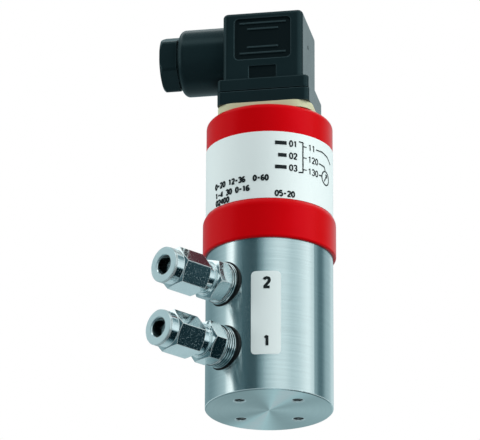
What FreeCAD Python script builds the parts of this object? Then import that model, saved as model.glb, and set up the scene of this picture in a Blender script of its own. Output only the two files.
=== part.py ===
import FreeCAD, Part
import math
import os
import re
import Sketcher

# Differential pressure transmitter: a turned steel body with two tube fittings on its side,
# a red moulded housing for the electronics and a rectangular cable plug on top.
# The origin is the centre of the flat base, +Z runs up the body's axis, and both ports point along -Y.
# All lengths are in millimetres and all angles in degrees.

# Driving dimensions
sizes = {
    # Steel body
    "bodyRadius": 20.5,
    "bodyAbovePort": 13.55,
    "bodyEdge": 0.35,
    "spigotStep": 1.9,
    "spigotHeight": 8.0,
    "spigotSealDrop": 3.6,
    "housingSealWidth": 2.2,
    "housingSealDepth": 1.3,
    "baseHoleCircle": 13.0,
    "baseHoleRadius": 1.65,
    "baseHoleDepth": 8.0,
    "baseHoleSink": 0.35,
    # Pressure chambers and sensor cell
    "chamberStep": 1.0,
    "lowerChamberFloor": 11.5,
    "cellAbovePort": 6.4,
    "cellWall": 2.6,
    "cellHeight": 8.6,
    "cellRimWidth": 2.6,
    "cellFaceDepth": 0.6,
    "diaphragmThickness": 0.15,
    "cellSealInset": 1.0,
    "cellSealWidth": 1.4,
    "cellSealDepth": 1.0,
    "ringWidth": 1.4,
    "ringHeight": 2.0,
    "plugSeatDrop": 6.2,
    "closingPlugStep": 2.0,
    "closingPlugHeight": 7.0,
    "closingSealDrop": 4.0,
    "closingSealWidth": 1.9,
    "closingSealDepth": 1.2,
    "pinInset": 2.5,
    "pinRadius": 0.4,
    "glassRadius": 1.1,
    # Port bores
    "lowerPortHeight": 16.0,
    "portSpacing": 21.45,
    "portBoreDepth": 6.4,
    "portPassageRadius": 1.5,
    "spotFaceRadius": 7.35,
    "spotFaceDepth": 1.5,
    # Tube fittings, along their own axis from the inner face of the hexagon
    "lowerFittingStand": 5.4,
    "upperFittingStand": 3.35,
    "lowerHexTurn": 0.0,
    "upperHexTurn": -18.0,
    "nutTurn": 6.0,
    "fittingThreadRadius": 6.5,
    "fittingThreadLength": 9.6,
    "fittingSealWidth": 0.8,
    "fittingSealHeight": 1.4,
    "fittingSealRound": 0.5,
    "fittingHexFlats": 12.2,
    "fittingHexLength": 5.5,
    "fittingNeckRadius": 4.9,
    "fittingNeckLength": 10.3,
    "tubeSocketDepth": 7.0,
    "nutGap": 3.4,
    "fittingPassageRadius": 2.0,
    "tubeRadius": 3.0,
    "tubeClearance": 0.05,
    "coneMouthRadius": 4.1,
    "coneDepth": 3.4,
    "ringNoseInset": 1.2,
    "cuttingRingLength": 5.4,
    "cuttingRingRadius": 4.55,
    "cuttingRingBackRadius": 3.7,
    "nutLength": 14.95,
    "nutFlats": 12.0,
    "nutHexLength": 11.2,
    "nutRoundRadius": 5.8,
    "nutGrooveInset": 0.45,
    "nutGrooveWidth": 0.4,
    "nutGrooveDepth": 0.45,
    "nutConeLength": 1.6,
    "nutMouthBevel": 0.4,
    "nutRimBevel": 0.2,
    "hexChamfer": 0.75,
    # Red housing
    "collarOverhang": 1.0,
    "collarHeight": 13.4,
    "collarEdge": 0.7,
    "collarShoulderHeight": 2.4,
    "collarShoulderArc": 3.3,
    "tubeStep": 1.0,
    "tubeWall": 2.3,
    "housingShoulder": 10.1,
    "housingTopEdge": 2.0,
    "housingTopThickness": 3.2,
    "housingMouthRadius": 10.6,
    # Labels
    "wrapLabelGap": 0.1,
    "wrapLabelHeight": 22.9,
    "wrapLabelThickness": 0.1,
    "wrapLabelSweep": 352.0,
    "portLabelWidth": 9.5,
    "portLabelBottom": 11.7,
    "portLabelHeight": 27.9,
    "portLabelCorner": 1.4,
    "portLabelThickness": 0.1,
    "portLabelAngle": 43.1,
    # Electronics
    "standoffInset": 2.0,
    "standoffRadius": 1.9,
    "standoffHeight": 4.0,
    "boardClearance": 0.8,
    "boardThickness": 1.6,
    "boardScrewRadius": 1.0,
    "boardScrewHead": 1.8,
    "boardScrewHeadHeight": 1.2,
    "boardScrewReach": 2.4,
    "chipLength": 7.0,
    "chipWidth": 5.2,
    "chipHeight": 1.8,
    "trimmerSide": 4.4,
    "trimmerHeight": 4.8,
    "chipOffset": 6.2,
    # Connector, turned about the body's axis
    "connectorTurn": 36.1,
    "connectorShift": 0.35,
    "gasketSide": 31.1,
    "gasketThickness": 2.4,
    "gasketCorner": 6.0,
    "baseSide": 30.2,
    "baseHeight": 4.3,
    "baseCorner": 1.6,
    "baseTailRadius": 10.4,
    "baseTailLength": 2.6,
    "insertRadius": 2.8,
    "insertThreadRadius": 1.3,
    "insertHeight": 5.6,
    "baseScrewCircle": 14.85,
    "baseScrewHead": 2.1,
    "baseScrewHeadHeight": 1.5,
    "baseScrewSink": 1.8,
    "baseScrewShank": 1.1,
    "baseScrewReach": 2.6,
    "bladeCircle": 8.4,
    "bladeWidth": 6.3,
    "bladeThickness": 0.8,
    "bladeHeight": 8.0,
    "earthBladeHeight": 8.8,
    "bladeTail": 2.2,
    "leadRadius": 0.45,
    # Cable plug
    "plugGap": 0.4,
    "rimSide": 30.0,
    "rimShift": 0.25,
    "rimHeight": 4.15,
    "rimCorner": 1.6,
    "rimRearCorner": 4.5,
    "rimEdge": 0.6,
    "boxWidth": 26.3,
    "boxDepth": 27.4,
    "boxHeight": 27.9,
    "boxCorner": 1.8,
    "boxRearCorner": 3.4,
    "boxTopEdge": 1.4,
    "plugWall": 1.7,
    "plugTopWall": 3.0,
    "gasketLipInset": 0.6,
    "gasketBodySide": 26.0,
    "gasketWindow": 22.2,
    "gasketRise": 1.1,
    "insertBlockClearance": 0.15,
    "insertBlockHeight": 11.0,
    "socketWidth": 7.4,
    "socketThickness": 2.6,
    "socketHeight": 8.6,
    "socketClearance": 0.08,
    "terminalScrewRadius": 1.4,
    "terminalScrewHeight": 1.6,
    "panelWidth": 18.5,
    "panelTopMargin": 2.3,
    "panelLowMargin": 7.05,
    "panelDepth": 0.6,
    "panelCorner": 1.5,
    "barHeight": 0.55,
    "barRise": 0.35,
    "longBarLength": 15.2,
    "shortBarLength": 10.2,
    "lowBarRise": 2.2,
    "highBarDrop": 1.6,
    "barPitch": 2.1,
    "tabWidth": 9.0,
    "tabHeight": 4.65,
    "tabDepth": 0.45,
    "dimpleRadius": 0.75,
    "dimpleRise": 7.3,
    "dimpleSetback": -2.6,
    "dimpleDepth": 0.5,
    # Central screw of the plug
    "screwRadius": 1.25,
    "screwHeadRadius": 2.9,
    "screwHeadHeight": 2.2,
    "screwSlotWidth": 0.9,
    "screwSlotDepth": 1.1,
    "screwReach": 3.6,
    "screwBossRadius": 5.0,
    "screwHoleRadius": 1.7,
    "screwWellRadius": 3.4,
    "screwWellDepth": 3.1,
    "screwWasherHeight": 0.6,
    # Cable gland
    "glandDrop": 11.05,
    "barrelRadius": 11.0,
    "barrelEnd": 29.0,
    "barrelEdge": 2.2,
    "barrelBoreRadius": 7.9,
    "barrelBoreLength": 12.0,
    "cableHoleRadius": 4.2,
    "glandSealRadius": 7.7,
    "glandSealLength": 6.0,
    "glandSealHole": 3.5,
    "glandWasherThickness": 0.8,
    "glandWasherHole": 4.4,
    "glandNutFlats": 16.8,
    "glandNutEnd": 35.2,
    "glandNutGap": 0.5,
    "glandNutHole": 4.7,
    "glandNutEdge": 1.2,
    "glandNutCorner": 1.5,
    "glandThreadRadius": 7.8,
    # General clearances
    "fitClearance": 0.05,
    "seatClearance": 0.1,
}

# Places that follow from the sizes, each a formula in the same names
places = {
    "upperPortHeight": "lowerPortHeight + portSpacing",
    "bodyHeight": "upperPortHeight + bodyAbovePort",
    "cellSeat": "lowerPortHeight + cellAbovePort",
    "plugSeat": "bodyHeight - plugSeatDrop",
    "spotFaceFloor": "bodyRadius - spotFaceDepth",
    "portBoreFloor": "spotFaceFloor - portBoreDepth",
    "cellRadius": "portBoreFloor - cellWall",
    "cellSealRadius": "cellRadius - cellSealInset",
    "lowerChamberRadius": "cellSealRadius - chamberStep",
    "spigotRadius": "bodyRadius - spigotStep",
    "pinCircle": "cellRadius - pinInset",
    "closingPlugRadius": "cellRadius + closingPlugStep",
    "collarRadius": "bodyRadius + collarOverhang",
    "tubeOuterRadius": "collarRadius - tubeStep",
    "housingBoreRadius": "tubeOuterRadius - tubeWall",
    "boardRadius": "housingBoreRadius - boardClearance",
    "standoffCircle": "boardRadius - standoffInset",
    "lowerFittingReach": "spotFaceFloor + lowerFittingStand",
    "upperFittingReach": "spotFaceFloor + upperFittingStand",
    "spigotTop": "bodyHeight + spigotHeight",
    "cellTop": "cellSeat + cellHeight",
    "ringTop": "cellTop + ringHeight",
    "closingPlugTop": "plugSeat + closingPlugHeight",
    "collarTop": "bodyHeight + collarHeight",
    "wrapLabelBottom": "collarTop + wrapLabelGap",
    "wrapLabelTop": "wrapLabelBottom + wrapLabelHeight",
    "housingTop": "wrapLabelTop + housingShoulder",
    "boardBottom": "spigotTop + standoffHeight",
    "boardTop": "boardBottom + boardThickness",
    "gasketTop": "housingTop + gasketThickness",
    "baseTop": "gasketTop + baseHeight",
    "plugBottom": "baseTop + plugGap",
    "rimTop": "plugBottom + rimHeight",
    "boxTop": "plugBottom + boxHeight",
    "glandHeight": "boxTop - glandDrop",
    "panelBottom": "rimTop + panelLowMargin",
    "panelHeight": "boxTop - panelTopMargin - panelBottom",
    "tabTop": "rimTop + tabHeight",
    "dimpleHeight": "panelBottom + dimpleRise",
    "gasketLipSide": "baseSide - 2 * gasketLipInset",
    "gasketStep": "plugBottom + gasketRise",
    "insertBlockTop": "gasketStep + insertBlockHeight",
    "tubeHoleRadius": "tubeRadius + tubeClearance",
    "fittingNeckEnd": "fittingHexLength + fittingNeckLength",
    "tubeStop": "fittingNeckEnd - tubeSocketDepth",
    "nutStart": "fittingHexLength + nutGap",
    "nutEnd": "nutStart + nutLength",
    "nutHexEnd": "nutStart + nutHexLength",
    "nutThreadRadius": "fittingNeckRadius + fitClearance",
    "ringNose": "fittingNeckEnd - coneDepth + ringNoseInset",
    "ringBack": "ringNose + cuttingRingLength",
    "coneSlope": "(coneMouthRadius - tubeHoleRadius) / coneDepth",
    "nutConeSlope": "nutConeLength / (nutThreadRadius - tubeHoleRadius)",
    "nutConeStart": "ringBack + fitClearance - nutConeSlope * (nutThreadRadius - cuttingRingBackRadius)",
    "nutHoleStart": "nutConeStart + nutConeLength",
    "screwSeat": "boxTop - screwWellDepth",
    "screwHeadBottom": "screwSeat + screwWasherHeight",
    "barrelFloor": "barrelEnd - barrelBoreLength",
    "glandSealEnd": "barrelFloor + glandSealLength",
    "glandWasherEnd": "glandSealEnd + glandWasherThickness",
    "glandNutStart": "barrelEnd + glandNutGap",
}

doc = FreeCAD.newDocument("DifferentialPressureTransmitter")
sheet = doc.addObject("Spreadsheet::Sheet", "Sizes")
parts = []
checks = []


def fillSheet():
    """Writes the sizes as plain numbers and the places as formulas, each cell named by its alias."""
    rows = [(name, str(value)) for name, value in sizes.items()]
    rows += [(name, "=" + formula) for name, formula in places.items()]
    for row, (name, content) in enumerate(rows, start=1):
        sheet.set(f"A{row}", name)
        sheet.set(f"B{row}", content)
        sheet.setAlias(f"B{row}", name)
    doc.recompute()


def bound(formula):
    """The formula with every size or place written as the sheet's cell."""
    def cell(word):
        name = word.group()
        return f"Sizes.{name}" if name in sizes or name in places else name
    return re.sub(r"[A-Za-z]\w*", cell, formula)


def value(formula):
    """The number that a formula gives now."""
    return float(sheet.evalExpression(bound(formula)))


def newBody(label):
    """A body for one physical piece, named as its file is."""
    body = doc.addObject("PartDesign::Body", "Body_" + label)
    body.Label = label
    parts.append(body)
    return body


def originPlane(body, role):
    for feature in body.Origin.OriginFeatures:
        if feature.Role == role:
            return feature
    raise ValueError(f"{body.Label} has no {role}")


def newSketch(body, name, role, offset="0"):
    """An empty sketch on one of the body's own planes, moved along the plane's normal."""
    sketch = body.newObject("Sketcher::SketchObject", f"{body.Label}_{name}")
    sketch.AttachmentSupport = [(originPlane(body, role), "")]
    sketch.MapMode = "FlatFace"
    if offset != "0":
        sketch.setExpression("AttachmentOffset.Base.z", bound(offset))
    return sketch


def fixCoordinate(sketch, kind, index, point, formula):
    """Ties one coordinate of a point to a formula."""
    constraint = sketch.addConstraint(Sketcher.Constraint(kind, index, point, value(formula)))
    if formula != "0":
        sketch.setExpression(f"Constraints[{constraint}]", bound(formula))


def arcBetween(start, end, radius):
    """An arc from start to end; a positive radius bulges to the right of the way from start to end."""
    chord = end - start
    middle = (start + end) * 0.5
    rise = math.sqrt(max(radius * radius - chord.Length * chord.Length / 4, 0))
    left = FreeCAD.Vector(-chord.y, chord.x, 0).normalize()
    centre = middle + left * math.copysign(rise, radius)
    circle = Part.Circle(centre, FreeCAD.Vector(0, 0, 1), abs(radius))
    first = math.atan2(start.y - centre.y, start.x - centre.x)
    last = math.atan2(end.y - centre.y, end.x - centre.x)
    if radius > 0:
        return Part.ArcOfCircle(circle, first, last), 1, 2
    return Part.ArcOfCircle(circle, last, first), 2, 1


def drawOutline(sketch, corners, arcs=None):
    """A closed outline through corners, each a pair of formulas, with arcs on the numbered sides."""
    arcs = arcs or {}
    points = [FreeCAD.Vector(value(x), value(y), 0) for x, y in corners]
    first = sketch.GeometryCount
    ends = []
    for side, start in enumerate(points):
        end = points[(side + 1) % len(points)]
        if side in arcs:
            turn, radius = arcs[side]
            shape, startPoint, endPoint = arcBetween(start, end, turn * value(radius))
        else:
            shape, startPoint, endPoint = Part.LineSegment(start, end), 1, 2
        sketch.addGeometry(shape, False)
        ends.append((startPoint, endPoint))
    for side in range(len(points)):
        following = (side + 1) % len(points)
        sketch.addConstraint(Sketcher.Constraint("Coincident", first + side, ends[side][1],
                                                 first + following, ends[following][0]))
    for side, (x, y) in enumerate(corners):
        fixCoordinate(sketch, "DistanceX", first + side, ends[side][0], x)
        fixCoordinate(sketch, "DistanceY", first + side, ends[side][0], y)
    for side, (turn, radius) in arcs.items():
        constraint = sketch.addConstraint(Sketcher.Constraint("Radius", first + side, value(radius)))
        sketch.setExpression(f"Constraints[{constraint}]", bound(radius))


def drawCircle(sketch, x, y, radius):
    centre = FreeCAD.Vector(value(x), value(y), 0)
    index = sketch.addGeometry(Part.Circle(centre, FreeCAD.Vector(0, 0, 1), value(radius)), False)
    fixCoordinate(sketch, "DistanceX", index, 3, x)
    fixCoordinate(sketch, "DistanceY", index, 3, y)
    constraint = sketch.addConstraint(Sketcher.Constraint("Radius", index, value(radius)))
    sketch.setExpression(f"Constraints[{constraint}]", bound(radius))


def drawRectangle(sketch, width, depth, x="0", y="0"):
    """A rectangle about a centre."""
    left, right = f"{x} - ({width}) / 2", f"{x} + ({width}) / 2"
    low, high = f"{y} - ({depth}) / 2", f"{y} + ({depth}) / 2"
    drawOutline(sketch, [(left, low), (right, low), (right, high), (left, high)])


def drawRounded(sketch, width, depth, corner, far="", x="0", y="0"):
    """A rectangle about a centre, with round corners; far is the radius on the +Y side."""
    far = far or corner
    left, right = f"{x} - ({width}) / 2", f"{x} + ({width}) / 2"
    low, high = f"{y} - ({depth}) / 2", f"{y} + ({depth}) / 2"
    corners = [(f"{left} + {corner}", low), (f"{right} - {corner}", low),
               (right, f"{low} + {corner}"), (right, f"{high} - {far}"),
               (f"{right} - {far}", high), (f"{left} + {far}", high),
               (left, f"{high} - {far}"), (left, f"{low} + {corner}")]
    drawOutline(sketch, corners, {1: (1, corner), 3: (1, far), 5: (1, far), 7: (1, corner)})


def drawHexagon(sketch, flats):
    """A hexagon about the origin, with two corners on the X axis."""
    far, near, half = f"({flats}) / sqrt(3)", f"({flats}) / sqrt(12)", f"({flats}) / 2"
    drawOutline(sketch, [(far, "0"), (near, half), (f"0 - {near}", half),
                         (f"0 - {far}", "0"), (f"0 - {near}", f"0 - {half}"), (near, f"0 - {half}")])


def addFeature(body, kind, name, sketch, adds):
    """Adds a feature on a sketch; checkDocument makes sure that it added or cut."""
    feature = body.newObject(kind, f"{body.Label}_{name}")
    feature.Profile = sketch
    checks.append((body, feature, adds))
    return feature


def pad(body, name, sketch, length, reverse=False):
    feature = addFeature(body, "PartDesign::Pad", name, sketch, True)
    feature.setExpression("Length", bound(length))
    feature.Reversed = reverse
    return feature


def pocket(body, name, sketch, length, reverse=False):
    feature = addFeature(body, "PartDesign::Pocket", name, sketch, False)
    feature.setExpression("Length", bound(length))
    feature.Reversed = reverse
    return feature


def revolve(body, name, sketch, angle=360.0):
    feature = addFeature(body, "PartDesign::Revolution", name, sketch, True)
    feature.ReferenceAxis = (sketch, ["V_Axis"])
    feature.Angle = angle
    return feature


def groove(body, name, sketch):
    feature = addFeature(body, "PartDesign::Groove", name, sketch, False)
    feature.ReferenceAxis = (sketch, ["V_Axis"])
    feature.Angle = 360.0
    return feature


def turned(label, corners, arcs=None):
    """A body turned about its Z axis from one outline of radius and height."""
    body = newBody(label)
    sketch = newSketch(body, "profile", "XZ_Plane")
    drawOutline(sketch, corners, arcs)
    revolve(body, "turning", sketch)
    return body


def plate(label, draw, bottom, thickness):
    """A body that is one outline, padded up from a height."""
    body = newBody(label)
    sketch = newSketch(body, "outline", "XY_Plane", bottom)
    draw(sketch)
    pad(body, "plate", sketch, thickness)
    return body


def roundEdges(body, name, base, radius, test, kind="PartDesign::Fillet"):
    """Rounds, or chamfers, the edges of a feature that a test picks."""
    doc.recompute()
    edges = [f"Edge{number}" for number, edge in enumerate(base.Shape.Edges, start=1) if test(edge)]
    if not edges:
        raise ValueError(f"{body.Label}: no edge for {name}")
    feature = body.newObject(kind, f"{body.Label}_{name}")
    feature.Base = (base, edges)
    feature.setExpression("Radius" if kind.endswith("Fillet") else "Size", bound(radius))
    body.Tip = feature
    return feature


def near(first, second):
    return abs(first - second) < 0.01


def roundAt(height, radius):
    """A test for full circles about Z at a height."""
    def test(edge):
        curve = edge.Curve
        return (isinstance(curve, Part.Circle) and near(curve.Center.z, value(height))
                and near(curve.Radius, value(radius)) and near(curve.Center.x, 0) and near(curve.Center.y, 0))
    return test


def flatAt(height):
    """A test for edges that lie in one level plane."""
    def test(edge):
        return near(edge.BoundBox.ZMin, value(height)) and near(edge.BoundBox.ZMax, value(height))
    return test


def group(label, shapes):
    """Several like solids as one piece of the list, such as a set of screws."""
    compound = doc.addObject("Part::Compound", label)
    compound.Label = label
    compound.Links = shapes
    parts.append(compound)
    return compound


def cylinder(name, radius, height, x="0", y="0", z="0"):
    shape = doc.addObject("Part::Cylinder", name)
    shape.setExpression("Radius", bound(radius))
    shape.setExpression("Height", bound(height))
    shape.setExpression("Placement.Base.x", bound(x))
    shape.setExpression("Placement.Base.y", bound(y))
    shape.setExpression("Placement.Base.z", bound(z))
    return shape


def block(name, length, width, height, x="0", y="0", z="0"):
    """A box about a centre line, standing on a height."""
    shape = doc.addObject("Part::Box", name)
    shape.setExpression("Length", bound(length))
    shape.setExpression("Width", bound(width))
    shape.setExpression("Height", bound(height))
    shape.setExpression("Placement.Base.x", bound(f"{x} - ({length}) / 2"))
    shape.setExpression("Placement.Base.y", bound(f"{y} - ({width}) / 2"))
    shape.setExpression("Placement.Base.z", bound(z))
    return shape


def joined(name, shapes):
    fusion = doc.addObject("Part::MultiFuse", name)
    fusion.Shapes = shapes
    return fusion


def cut(name, base, tool):
    result = doc.addObject("Part::Cut", name)
    result.Base = base
    result.Tool = tool
    return result


def around(count, radius, start="0"):
    """Centres on a circle, as pairs of formulas; start is the first one's angle."""
    return [(f"{radius} * cos({start} + {360 * number / count})",
             f"{radius} * sin({start} + {360 * number / count})") for number in range(count)]


def drillScrews(body, top, depth, spots):
    """Holes down from a height for the screws that hold the connector's base."""
    sketch = newSketch(body, "screw_holes", "XY_Plane", top)
    for x, y in spots:
        drawCircle(sketch, x, y, "baseScrewShank + fitClearance")
    pocket(body, "screw_drilling", sketch, depth)


def atConnector(part):
    """Turns a piece of the connector about the body's axis."""
    part.Placement = FreeCAD.Placement(FreeCAD.Vector(), FreeCAD.Rotation(value("connectorTurn"), 0, 0))


def atPort(part, height, reach, turn="0"):
    """Lays a piece of a fitting along -Y at its port and reach, turned about its own axis."""
    lay = FreeCAD.Rotation(FreeCAD.Vector(1, 0, 0), 90)
    spin = FreeCAD.Rotation(FreeCAD.Vector(0, 0, 1), value(turn))
    part.Placement = FreeCAD.Placement(FreeCAD.Vector(0, -value(reach), value(height)), lay * spin)


def atGland(part):
    """Lays a piece of the cable gland along the connector's own -X, at the gland's height."""
    turn = FreeCAD.Rotation(value("connectorTurn"), 0, 0)
    lay = FreeCAD.Rotation(FreeCAD.Vector(0, 1, 0), -90)
    part.Placement = FreeCAD.Placement(FreeCAD.Vector(0, 0, value("glandHeight")), turn * lay)


def makePressureBody():
    """Turned steel body: outside, spigot with its seal groove, and the stepped bore for the cell."""
    grooveLow = "bodyHeight + spigotSealDrop"
    grooveHigh = f"{grooveLow} + housingSealWidth"
    sealInner = "cellSealRadius - cellSealWidth / 2"
    sealOuter = "cellSealRadius + cellSealWidth / 2"
    cellBore = "cellRadius + fitClearance"
    plugBore = "closingPlugRadius + fitClearance"
    body = turned("pressure_body", [
        ("0", "0"), ("bodyRadius", "0"), ("bodyRadius", "bodyHeight"), ("spigotRadius", "bodyHeight"),
        ("spigotRadius", grooveLow), ("spigotRadius - housingSealDepth", grooveLow),
        ("spigotRadius - housingSealDepth", grooveHigh), ("spigotRadius", grooveHigh),
        ("spigotRadius", "spigotTop"), (plugBore, "spigotTop"), (plugBore, "plugSeat"),
        (cellBore, "plugSeat"), (cellBore, "cellSeat"), (sealOuter, "cellSeat"),
        (sealOuter, "cellSeat - cellSealDepth"), (sealInner, "cellSeat - cellSealDepth"),
        (sealInner, "cellSeat"), ("lowerChamberRadius", "cellSeat"),
        ("lowerChamberRadius", "lowerChamberFloor"), ("0", "lowerChamberFloor")])
    roundEdges(body, "edge", body.Tip, "bodyEdge", roundAt("0", "bodyRadius"), "PartDesign::Chamfer")
    for port in ("lower", "upper"):
        height = f"{port}PortHeight"
        spot = newSketch(body, f"{port}_spot", "XZ_Plane", "spotFaceFloor")
        drawCircle(spot, "0", height, "spotFaceRadius")
        pocket(body, f"{port}_spot_face", spot, "bodyRadius - spotFaceFloor + seatClearance", True)
        bore = newSketch(body, f"{port}_bore", "XZ_Plane", "portBoreFloor")
        drawCircle(bore, "0", height, "fittingThreadRadius + fitClearance")
        pocket(body, f"{port}_thread", bore, "bodyRadius - portBoreFloor", True)
        passage = newSketch(body, f"{port}_passage", "XZ_Plane", "lowerChamberRadius - cellSealWidth")
        drawCircle(passage, "0", height, "portPassageRadius")
        pocket(body, f"{port}_way", passage, "portBoreFloor", True)
    holes = newSketch(body, "base_holes", "XY_Plane")
    for x, y in around(4, "baseHoleCircle"):
        drawCircle(holes, x, y, "baseHoleRadius")
    drilled = pocket(body, "base_drilling", holes, "baseHoleDepth", True)

    def mouth(edge):
        curve = edge.Curve
        return isinstance(curve, Part.Circle) and near(curve.Radius, value("baseHoleRadius")) \
            and near(curve.Center.z, 0)
    roundEdges(body, "hole_mouths", drilled, "baseHoleSink", mouth, "PartDesign::Chamfer")


def makeCell():
    """Oil filled capsule with a recessed corrugated diaphragm on each side, its seal and its ring."""
    face = "cellRadius - cellRimWidth"
    turned("sensor_cell", [
        ("0", "cellSeat + cellFaceDepth"), (face, "cellSeat + cellFaceDepth"), (face, "cellSeat"),
        ("cellRadius", "cellSeat"), ("cellRadius", "cellTop"), (face, "cellTop"),
        (face, "cellTop - cellFaceDepth"), ("0", "cellTop - cellFaceDepth")])
    discs = []
    for side, height in (("lower", "cellSeat + cellFaceDepth - diaphragmThickness"),
                         ("upper", "cellTop - cellFaceDepth")):
        disc = cylinder(f"{side}_diaphragm", f"{face} - seatClearance", "diaphragmThickness", z=height)
        discs.append(disc)
    group("cell_diaphragms", discs)
    turned("cell_seal", [
        ("cellSealRadius - cellSealWidth / 2", "cellSeat - cellSealDepth"),
        ("cellSealRadius + cellSealWidth / 2", "cellSeat - cellSealDepth"),
        ("cellSealRadius + cellSealWidth / 2", "cellSeat"),
        ("cellSealRadius - cellSealWidth / 2", "cellSeat")])
    turned("cell_retaining_ring", [
        ("cellRadius - ringWidth", "cellTop"), ("cellRadius", "cellTop"),
        ("cellRadius", "ringTop"), ("cellRadius - ringWidth", "ringTop")])


def makeClosingPlug():
    """Steel plug over the upper chamber, its seal, and the glass sealed pins that pass through it."""
    low = "plugSeat + closingSealDrop - closingSealWidth"
    high = "plugSeat + closingSealDrop"
    body = turned("closing_plug", [
        ("0", "plugSeat"), ("closingPlugRadius", "plugSeat"), ("closingPlugRadius", low),
        ("closingPlugRadius - closingSealDepth", low), ("closingPlugRadius - closingSealDepth", high),
        ("closingPlugRadius", high), ("closingPlugRadius", "closingPlugTop"), ("0", "closingPlugTop")])
    spots = around(4, "pinCircle", "45")
    holes = newSketch(body, "pin_holes", "XY_Plane", "closingPlugTop")
    for x, y in spots:
        drawCircle(holes, x, y, "glassRadius")
    pocket(body, "pin_drilling", holes, "closingPlugHeight")
    turned("closing_plug_seal", [
        ("closingPlugRadius - closingSealDepth", low), ("closingPlugRadius + fitClearance", low),
        ("closingPlugRadius + fitClearance", high), ("closingPlugRadius - closingSealDepth", high)])
    glass, pins = [], []
    for number, (x, y) in enumerate(spots, start=1):
        bead = cylinder(f"bead_{number}", "glassRadius", "closingPlugHeight", x, y, "plugSeat")
        hole = cylinder(f"bead_hole_{number}", "pinRadius", "closingPlugHeight", x, y, "plugSeat")
        glass.append(cut(f"glass_bead_{number}", bead, hole))
        pins.append(cylinder(f"pin_{number}", "pinRadius", "boardBottom - cellTop", x, y, "cellTop"))
    group("feedthrough_glass", glass)
    group("feedthrough_pins", pins)


def makeHousing():
    """Red moulded housing: collar over the spigot, tube, and a closed top with a mouth for the leads."""
    shoulderTop = "collarTop"
    shoulderLow = "collarTop - collarShoulderHeight"
    ceiling = "housingTop - housingTopThickness"
    bore = "spigotRadius + fitClearance"
    body = turned("electronics_housing", [
        (bore, "bodyHeight"), ("collarRadius", "bodyHeight"), ("collarRadius", shoulderLow),
        ("tubeOuterRadius", shoulderTop), ("tubeOuterRadius", "housingTop"),
        ("housingMouthRadius", "housingTop"), ("housingMouthRadius", ceiling),
        ("housingBoreRadius", ceiling), ("housingBoreRadius", "spigotTop"), (bore, "spigotTop")],
        {2: (1, "collarShoulderArc")})
    turning = body.Tip
    lower = roundEdges(body, "collar_edge", turning, "collarEdge", roundAt("bodyHeight", "collarRadius"))
    roundEdges(body, "top_edge", lower, "housingTopEdge", roundAt("housingTop", "tubeOuterRadius"))
    drillScrews(body, "housingTop", "baseScrewReach + seatClearance",
                around(4, "baseScrewCircle", "(45 + connectorTurn)"))
    turned("housing_seal", [
        ("spigotRadius - housingSealDepth", "bodyHeight + spigotSealDrop"),
        (bore, "bodyHeight + spigotSealDrop"),
        (bore, "bodyHeight + spigotSealDrop + housingSealWidth"),
        ("spigotRadius - housingSealDepth", "bodyHeight + spigotSealDrop + housingSealWidth")])


def makeLabels():
    """Thin wrap label round the housing with a gap at the back, and the curved label by the ports."""
    body = newBody("wrap_label")
    sketch = newSketch(body, "section", "XZ_Plane")
    outer = "tubeOuterRadius + wrapLabelThickness"
    drawOutline(sketch, [("tubeOuterRadius", "wrapLabelBottom"), (outer, "wrapLabelBottom"),
                         (outer, "wrapLabelTop"), ("tubeOuterRadius", "wrapLabelTop")])
    wrap = revolve(body, "wrap", sketch)
    wrap.setExpression("Angle", bound("wrapLabelSweep"))
    body = newBody("port_label")
    sketch = newSketch(body, "outline", "XZ_Plane")
    drawRounded(sketch, "portLabelWidth", "portLabelHeight", "portLabelCorner",
                y="(portLabelBottom + portLabelHeight / 2)")
    pad(body, "stock", sketch, "bodyRadius + portLabelThickness")
    trim = newSketch(body, "core", "XY_Plane")
    drawCircle(trim, "0", "0", "bodyRadius")
    pocket(body, "core_cut", trim, "bodyHeight", True)
    outside = newSketch(body, "outside", "XY_Plane")
    drawCircle(outside, "0", "0", "bodyRadius + portLabelThickness")
    drawCircle(outside, "0", "0", "bodyRadius * 2")
    pocket(body, "outside_cut", outside, "bodyHeight", True)
    body.Placement = FreeCAD.Placement(FreeCAD.Vector(), FreeCAD.Rotation(value("portLabelAngle"), 0, 0))
    wrapTurn = FreeCAD.Rotation(value("90 + connectorTurn + (360 - wrapLabelSweep) / 2"), 0, 0)
    doc.getObject("Body_wrap_label").Placement = FreeCAD.Placement(FreeCAD.Vector(), wrapTurn)


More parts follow.
